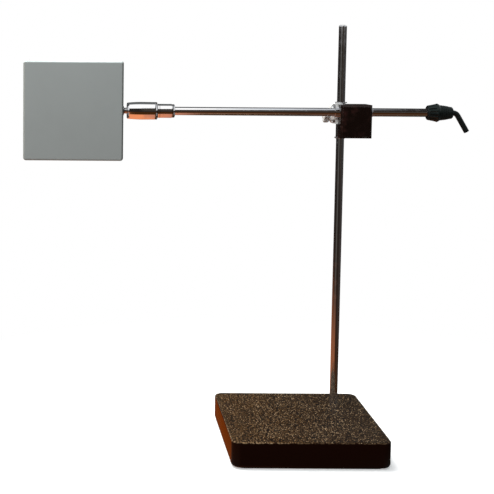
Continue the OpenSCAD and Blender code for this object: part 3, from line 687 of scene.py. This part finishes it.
def gland():
    """The gland's nut is fluted up to its grip ridge; the boot tapers in soft steps."""
    low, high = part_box("gland_nut")
    length = high.x - low.x
    radius = (high.z - low.z) / 2
    inner = radius - 3.9 * MM
    lip = inner - 1.5 * MM
    ridge = 0.83 * length
    depth = length - 1.5 * MM
    flute, flutes = 0.9 * MM, 14

    def flare(distance):
        return radius - 2.8 * MM * (1 - distance / ridge) ** 0.8

    def shape(angle, distance, r):
        if distance < ridge - 1.6 * MM and r > inner + 0.6 * MM:
            wave = max(0.0, math.cos(flutes * angle)) ** 1.5
            return r - flute * wave
        return r

    steps = 10
    flank = []
    for i in range(steps + 1):
        distance = MM + (ridge - 2.2 * MM) * i / steps
        flank.append((distance, flare(distance)))
    profile = [
        (depth, lip), (depth, inner), (0, inner), (0, flare(0) - 0.7 * MM),
        (0.5 * MM, flare(0.5 * MM) - 0.15 * MM), *flank,
        (ridge - 0.7 * MM, radius - 0.35 * MM), (ridge - 0.4 * MM, radius - 0.05 * MM),
        (ridge + 0.3 * MM, radius), (ridge + 0.7 * MM, radius - 0.3 * MM),
        (length - 0.6 * MM, radius - 0.9 * MM), (length, radius - 1.5 * MM), (length, lip), (depth, lip),
    ]
    verts, faces = lathe(profile, Vector((low.x, ARM.y, ARM.z)), X, 224, shape)
    stand_for(piece("gland_cap", verts, faces, MATERIALS["gland"]), "gland_nut", "boom")

    boot_low, boot_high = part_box("gland_boot")
    spigot = high.x - boot_low.x
    length = boot_high.x - high.x
    rings = []
    for start, drop in ((0.3, 2.0), (2.9, 2.3), (5.6, 2.6), (8.3, 3.0), (11.0, 3.5), (13.7, 4.1)):
        rings += [(spigot + start * MM, radius - drop * MM),
                  (spigot + (start + 1.6) * MM, radius - (drop + 0.2) * MM),
                  (spigot + (start + 1.9) * MM, radius - (drop + 0.9) * MM),
                  (spigot + (start + 2.4) * MM, radius - (drop + 0.9) * MM)]
    nose_round = 2.7 * MM
    nose = arc(spigot + length - nose_round, radius - 7.2 * MM, nose_round, 85, 8, 8)
    hole = CABLE + 0.1 * MM
    profile = [(0, hole), (0, lip), (spigot, lip), (spigot, radius - 2.4 * MM), *rings, *nose,
               (spigot + length, hole + 0.8 * MM), (spigot + length - 2.5 * MM, hole), (0, hole)]
    verts, faces = lathe(profile, Vector((boot_low.x, ARM.y, ARM.z)), X, 96)
    stand_for(piece("gland_sleeve", verts, faces, MATERIALS["rubber"], 25), "gland_boot", "boom")


def cable():
    """One cable swept along the boom's axis, round its bend and down its free end."""
    low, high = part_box("arm_cable")
    radius = CABLE
    droop = math.radians(59.5)
    bend = 8.2 * MM
    tail = 25.5 * MM
    bend_x = high.x - radius * math.sin(droop) - tail * math.cos(droop) - bend * math.sin(droop)
    path = [(Vector((low.x, ARM.y, ARM.z)), 0.0), (Vector((bend_x, ARM.y, ARM.z)), 0.0)]
    steps = 14
    for i in range(1, steps + 1):
        angle = droop * i / steps
        spot = Vector((bend_x + bend * math.sin(angle), ARM.y, ARM.z - bend * (1 - math.cos(angle))))
        path.append((spot, angle))
    end = path[-1][0] + Vector((math.cos(droop), 0, -math.sin(droop))) * tail
    path.append((end, droop))
    segments = 40
    verts, faces = [], []

    def ring(spot, angle, r):
        up = Vector((math.sin(angle), 0, math.cos(angle)))
        for k in range(segments):
            turn = 2 * math.pi * k / segments
            verts.append(spot + (Y * math.cos(turn) + up * math.sin(turn)) * r)

    along = Vector((math.cos(droop), 0, -math.sin(droop)))
    soft_edge = 0.25 * MM
    core, core_depth = 1.7 * MM, 0.5 * MM
    stations = [(spot, angle, radius) for spot, angle in path[:-1]]
    stations += [(end - along * soft_edge, droop, radius), (end, droop, radius - soft_edge),
                 (end, droop, core), (end - along * core_depth, droop, core - 0.1 * MM)]
    for spot, angle, r in stations:
        ring(spot, angle, r)
    for row in range(len(stations) - 1):
        for k in range(segments):
            n = (k + 1) % segments
            a, b = row * segments, (row + 1) * segments
            faces.append([a + k, a + n, b + n, b + k])
    faces.append(list(range(segments))[::-1])
    faces.append([(len(stations) - 1) * segments + k for k in range(segments)])
    stand_for(piece("cable_run", verts, faces, MATERIALS["rubber"]), "arm_cable", "boom")


def head_case():
    """The case's pan: rounded front edges, thin walls, screw posts and bench bosses."""
    low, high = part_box("head_housing")
    centre, half = (low + high) / 2, (high - low) / 2
    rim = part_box("cover_gasket")[0].y
    wall = 2.5 * MM
    edge, corner, steps = 2.9 * MM, 4 * MM, 6
    post_inset, post_radius, screw_radius, screw_depth = 8 * MM, 4 * MM, 1.5 * MM, 8 * MM
    boss_radius, boss_height, screw_head = 3.5 * MM, 2 * MM, 2.75 * MM

    def place(x, y, height):
        return Vector((centre.x + x, height, centre.z + y))

    rings = fillet(low.y, rim, edge, 0, steps)[:steps + 1]
    rings += [(0, rim), (wall, rim), (wall, low.y + wall)]
    verts, faces = slab(half.x, half.z, corner, rings, place)
    parts = [(verts, faces)]
    post_at = half.x - post_inset
    for sx in (-1, 0, 1):
        for sz in (-1, 1):
            spot = Vector((centre.x + sx * post_at, low.y + wall, centre.z + sz * post_at))
            height = high.y - low.y - wall
            profile = [(0, post_radius), (height, post_radius), (height, screw_radius),
                       (height - screw_depth, screw_radius), (height - screw_depth, 0)]
            parts.append(lathe(profile, spot, Y, 32))
    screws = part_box("bench_screws")
    boss_x = (screws[1].x - screws[0].x) / 2 - screw_head
    for sx in (-1, 1):
        for sz in (-1, 1):
            spot = Vector((centre.x + sx * boss_x, low.y + wall, centre.z + sz * boss_x))
            profile = [(0, boss_radius), (boss_height, boss_radius), (boss_height, 0)]
            parts.append(lathe(profile, spot, Y, 32))
    verts, faces = add(parts)
    stand_for(piece("case_pan", verts, faces, MATERIALS["head"], 35), "head_housing", "head")


# ---- Pieces that keep their CAD mesh ----

KEPT = {
    "rubber": ["base_pad", "cover_gasket", "gland_seal", "head_lead"],
    "steel": ["rod_washer", "rod_nut", "saddle_screws", "stud_nut", "cover_screws", "bezel_screws",
              "bench_screws", "mount_screws", "slit_plate", "rod_liner_clip", "arm_liner_clip"],
    "turned": ["arm_liner"],
    "chrome": ["rod_liner"],
    "satin": ["rod_saddle"],
    "clamp": ["cross_block"],
    "brass": ["rod_lock_pad", "arm_lock_pad", "head_bush"],
    "nylon": ["front_seat", "rear_seat", "board_standoffs", "lead_connector"],
    "gland": ["gland_body", "detector"],
    "head": ["rear_cover"],
    "anodised": ["entrance_bezel", "optical_bench", "fold_mirror_mount", "slit_holder",
                 "collimator_mount", "grating_mount", "focusing_mount", "detector_bracket", "light_baffle"],
    "mirror": ["fold_mirror", "collimating_mirror", "focusing_mirror"],
    "ruled": ["grating"],
    "glass": ["entrance_window"],
    "circuit": ["detector_board", "interface_board"],
}
EDGE_WIDTH = {"cross_block": 0.5 * MM, "rod_saddle": 0.5 * MM, "rear_cover": 0.5 * MM, "base_pad": 0.3 * MM}


def soften(obj, width):
    """Rounds a CAD node's sharp edges with modifiers, which leave its mesh alone."""
    weld = obj.modifiers.new("weld", "WELD")
    weld.merge_threshold = 0.002 * MM
    rounded = obj.modifiers.new("rounded_edges", "BEVEL")
    rounded.width = width
    rounded.segments = 3
    rounded.limit_method = "ANGLE"
    rounded.angle_limit = math.radians(32)
    rounded.harden_normals = False
    even = obj.modifiers.new("even_normals", "WEIGHTED_NORMAL")
    even.keep_sharp = False
    even.weight = 50


def keep_cad_pieces():
    for look, names in KEPT.items():
        for name in names:
            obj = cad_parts[name]
            obj.data.materials.clear()
            obj.data.materials.append(MATERIALS[look])
            obj.data.polygons.foreach_set("use_smooth", [True] * len(obj.data.polygons))
            soften(obj, EDGE_WIDTH.get(name, 0.15 * MM))


# ---- Studio and camera ----


def studio():
    """A pale floor that fades into a white backdrop, under broad soft lights."""
    verts = [(-30, -30, 0), (30, -30, 0), (30, 30, 0), (-30, 30, 0)]
    look = Look("pale_floor", (0.86, 0.86, 0.86), 0.9)
    distance = look.node("ShaderNodeVectorMath", operation="LENGTH")
    look.link(look.coords, distance.inputs[0])
    faded = look.span(distance.outputs["Value"], 0.15, 0.7)
    paper = look.mix(look.noise(0.2, detail=3), (0.84, 0.84, 0.84), (0.88, 0.88, 0.88))
    look.set("Base Color", look.mix(faded, paper, (0.0, 0.0, 0.0)))
    look.set("Specular IOR Level", 0.0)
    glow = look.span(faded, 0, 1, 0.38, 1.0)
    camera_only = look.node("ShaderNodeLightPath").outputs["Is Camera Ray"]
    look.set("Emission Color", (1, 1, 1, 1))
    look.set("Emission Strength", look.maths("MULTIPLY", glow, camera_only))
    floor = piece("floor", verts, [[0, 1, 2, 3]], look.material)
    floor.visible_glossy = False
    floor.visible_diffuse = False
    for name, spot, size, power, colour in (
        ("key", Vector((-0.14, -1.25, 1.15)), 0.5, 6.9, (0.94, 0.985, 1.0)),
        ("side", Vector((-1.9, 0.10, 1.25)), 0.2, 5.5, (1.0, 0.82, 0.52)),
        ("top", Vector((-0.75, 0.35, 2.3)), 1.3, 61, (1.0, 1.0, 1.0)),
    ):
        data = bpy.data.lights.new(name, "AREA")
        data.shape = "SQUARE"
        data.size = size
        data.energy = power
        data.color = colour
        lamp = bpy.data.objects.new(name, data)
        bpy.context.scene.collection.objects.link(lamp)
        lamp.location = spot
        lamp.rotation_euler = (spot - Vector((-0.1, 0, 0.25))).to_track_quat("Z", "Y").to_euler()
        lamp.visible_glossy = False
        lamp.visible_camera = False


def surroundings():
    """What the polished metal mirrors: a white soft light above and in front, dark below it
    towards the viewer, a warm wooden room below and behind, and grey above and behind."""
    world = bpy.data.worlds.new("room")
    bpy.context.scene.world = world
    world.use_nodes = True
    tree = world.node_tree
    tree.nodes.clear()

    def node(kind, **settings):
        made = tree.nodes.new(kind)
        for key, value in settings.items():
            setattr(made, key, value)
        return made

    def span(value, low, high, to_low=0.0, to_high=1.0):
        made = node("ShaderNodeMapRange", interpolation_type="SMOOTHSTEP")
        for socket, number in zip(("From Min", "From Max", "To Min", "To Max"),
                                  (low, high, to_low, to_high)):
            made.inputs[socket].default_value = number
        tree.links.new(value, made.inputs["Value"])
        return made.outputs["Result"]

    def maths(operation, a, b):
        made = node("ShaderNodeMath", operation=operation)
        for socket, value in zip(made.inputs, (a, b)):
            if isinstance(value, bpy.types.NodeSocket):
                tree.links.new(value, socket)
            else:
                socket.default_value = value
        return made.outputs["Value"]

    def mix(factor, a, b):
        made = node("ShaderNodeMix", data_type="RGBA")
        for socket, value in zip((made.inputs["Factor"], made.inputs[6], made.inputs[7]), (factor, a, b)):
            if isinstance(value, bpy.types.NodeSocket):
                tree.links.new(value, socket)
            else:
                socket.default_value = (*value, 1)
        return made.outputs[2]

    # Right, away and up are the parts of the direction looked in
    coords = node("ShaderNodeTexCoord")
    parts = node("ShaderNodeSeparateXYZ")
    tree.links.new(coords.outputs["Generated"], parts.inputs[0])
    right, away, up = parts.outputs
    lift = maths("SUBTRACT", up, maths("MULTIPLY", maths("MAXIMUM", right, 0.05), 1.6))
    above = span(lift, 0.40, 0.54)
    behind = span(away, -0.05, 0.25)
    near_light = mix(span(right, 0.10, 0.16), (1.30, 1.29, 1.27), (0.86, 0.90, 0.93))
    near_light = mix(span(right, 0.17, 0.21), near_light, (0.60, 0.62, 0.65))
    near_light = mix(span(right, 0.215, 0.255), near_light, (0.18, 0.185, 0.19))
    near_light = mix(span(right, 0.265, 0.285), near_light, (0.06, 0.06, 0.06))
    near_light = mix(span(right, -0.45, -0.62), near_light, (0.14, 0.16, 0.155))
    far_light = mix(span(right, 0.11, 0.16), (0.14, 0.15, 0.15), (0.32, 0.33, 0.35))
    far_light = mix(span(right, 0.21, 0.25), far_light, (0.17, 0.175, 0.18))
    far_light = mix(span(right, 0.265, 0.285), far_light, (0.06, 0.06, 0.06))
    ceiling = mix(behind, near_light, far_light)
    below = maths("SUBTRACT", away, maths("MULTIPLY", up, 0.785))
    table = maths("MULTIPLY", span(right, -0.08, -0.30), span(up, -0.17, -0.25))
    wood = maths("MAXIMUM", maths("MULTIPLY", span(below, -0.16, 0.04), span(up, -0.15, -0.26)), table)
    warm = mix(span(right, 0.056, 0.078), (1.05, 0.35, 0.15), (0.62, 0.25, 0.16))
    warm = mix(span(right, 0.076, 0.104), warm, (0.25, 0.125, 0.075))
    warm = mix(span(right, 0.12, 0.20), warm, (0.115, 0.058, 0.038))
    warm = mix(span(right, 0.24, 0.30), warm, (0.085, 0.05, 0.03))
    dim = maths("MULTIPLY", span(away, -0.12, 0.2), span(right, 0.08, 0.105))
    warm = mix(maths("MULTIPLY", dim, 0.55), warm, (0.0, 0.0, 0.0))
    warm = mix(span(up, -0.20, -0.75, 0.28, 1.0), (0.020, 0.010, 0.006), warm)
    beside = maths("MULTIPLY", span(away, 0.80, 0.92), span(right, 0.0, -0.08))
    warm = mix(beside, warm, (0.39, 0.066, 0.0))
    doorway = maths("MULTIPLY", span(right, -0.32, -0.48), span(right, -0.90, -0.74))
    doorway = maths("MULTIPLY", doorway, span(away, 0.1, -0.3))
    wall = mix(doorway, (0.022, 0.018, 0.016), (0.10, 0.095, 0.085))
    wall = mix(span(right, 0.45, 0.85), wall, (0.045, 0.042, 0.040))
    facing = maths("MULTIPLY", span(away, -0.80, -0.95), span(right, 0.02, 0.08))
    facing = maths("MULTIPLY", facing, span(up, -0.11, -0.03))
    wall = mix(facing, wall, (0.055, 0.045, 0.036))
    wall = mix(span(up, -0.02, -0.45), wall, (0.040, 0.014, 0.005))
    wall = mix(span(up, -0.20, -0.34), wall, (0.062, 0.021, 0.005))
    room = mix(above, wall, ceiling)
    room = mix(wood, room, warm)
    # What the metal hardly mirrors from the front is a plain, evenly lit room
    aside = maths("MAXIMUM", span(right, 0.34, 0.42), span(right, -0.24, -0.32))
    rest = maths("MAXIMUM", span(up, -0.36, -0.44), span(up, 0.08, 0.20))
    plain = mix(span(up, -0.10, 0.40), (0.26, 0.25, 0.245), (0.85, 0.87, 0.88))
    room = mix(maths("MULTIPLY", aside, rest), room, plain)
    path = node("ShaderNodeLightPath")
    diffuse = mix(span(up, -0.2, 0.4), (0.24, 0.19, 0.16), (0.62, 0.66, 0.67))
    diffuse = mix(span(right, -0.1, 0.5), diffuse, (0.04, 0.04, 0.045))
    seen = mix(path.outputs["Is Glossy Ray"], diffuse, room)
    seen = mix(path.outputs["Is Camera Ray"], seen, (1.0, 1.0, 1.0))
    background = node("ShaderNodeBackground")
    tree.links.new(seen, background.inputs["Color"])
    out = node("ShaderNodeOutputWorld")
    tree.links.new(background.outputs["Background"], out.inputs["Surface"])


def camera():
    """The camera stands level with the head, left of the post, with its frame shifted."""
    data = bpy.data.cameras.new("camera")
    data.sensor_width = 36
    data.lens = 78.56
    data.clip_start = 0.05
    data.clip_end = 200
    obj = bpy.data.objects.new("camera", data)
    bpy.context.scene.collection.objects.link(obj)
    spot = Vector((ROD.x - 0.349, ROD.y - 1.501, 0.524))
    yaw, pitch, roll = (math.radians(a) for a in (-0.15, 4.64, 0.41))
    ahead = Vector((-math.sin(yaw), math.cos(yaw), 0))
    side = Vector((math.cos(yaw), math.sin(yaw), 0))
    view = ahead * math.cos(pitch) - Z * math.sin(pitch)
    top = Z * math.cos(pitch) + ahead * math.sin(pitch)
    right = side * math.cos(roll) + top * math.sin(roll)
    upright = top * math.cos(roll) - side * math.sin(roll)
    turn = Matrix((right, upright, -view)).transposed().to_4x4()
    obj.matrix_world = Matrix.Translation(spot) @ turn
    bpy.context.scene.camera = obj
    # The frame is off the lens's axis only from this spot, so any other view is centred.
    for channel, amount in (("shift_x", 0.3117), ("shift_y", -0.2085)):
        driver = data.driver_add(channel).driver
        driver.type = "SCRIPTED"
        for name, axis in (("east", "LOC_X"), ("north", "LOC_Y")):
            variable = driver.variables.new()
            variable.name = name
            variable.type = "TRANSFORMS"
            variable.targets[0].id = obj
            variable.targets[0].transform_type = axis
            variable.targets[0].transform_space = "WORLD_SPACE"
        driver.expression = (
            f"{amount} if abs(east - {spot.x:.4f}) + abs(north - {spot.y:.4f}) < 0.002 else 0.0"
        )


base_plate()
post()
boom()
barrel()
shank()
ball_and_stud()
knobs()
gland()
cable()
head_case()
keep_cad_pieces()
studio()
surroundings()
camera()

bpy.context.scene.view_settings.view_transform = "Standard"
bpy.context.view_layer.update()
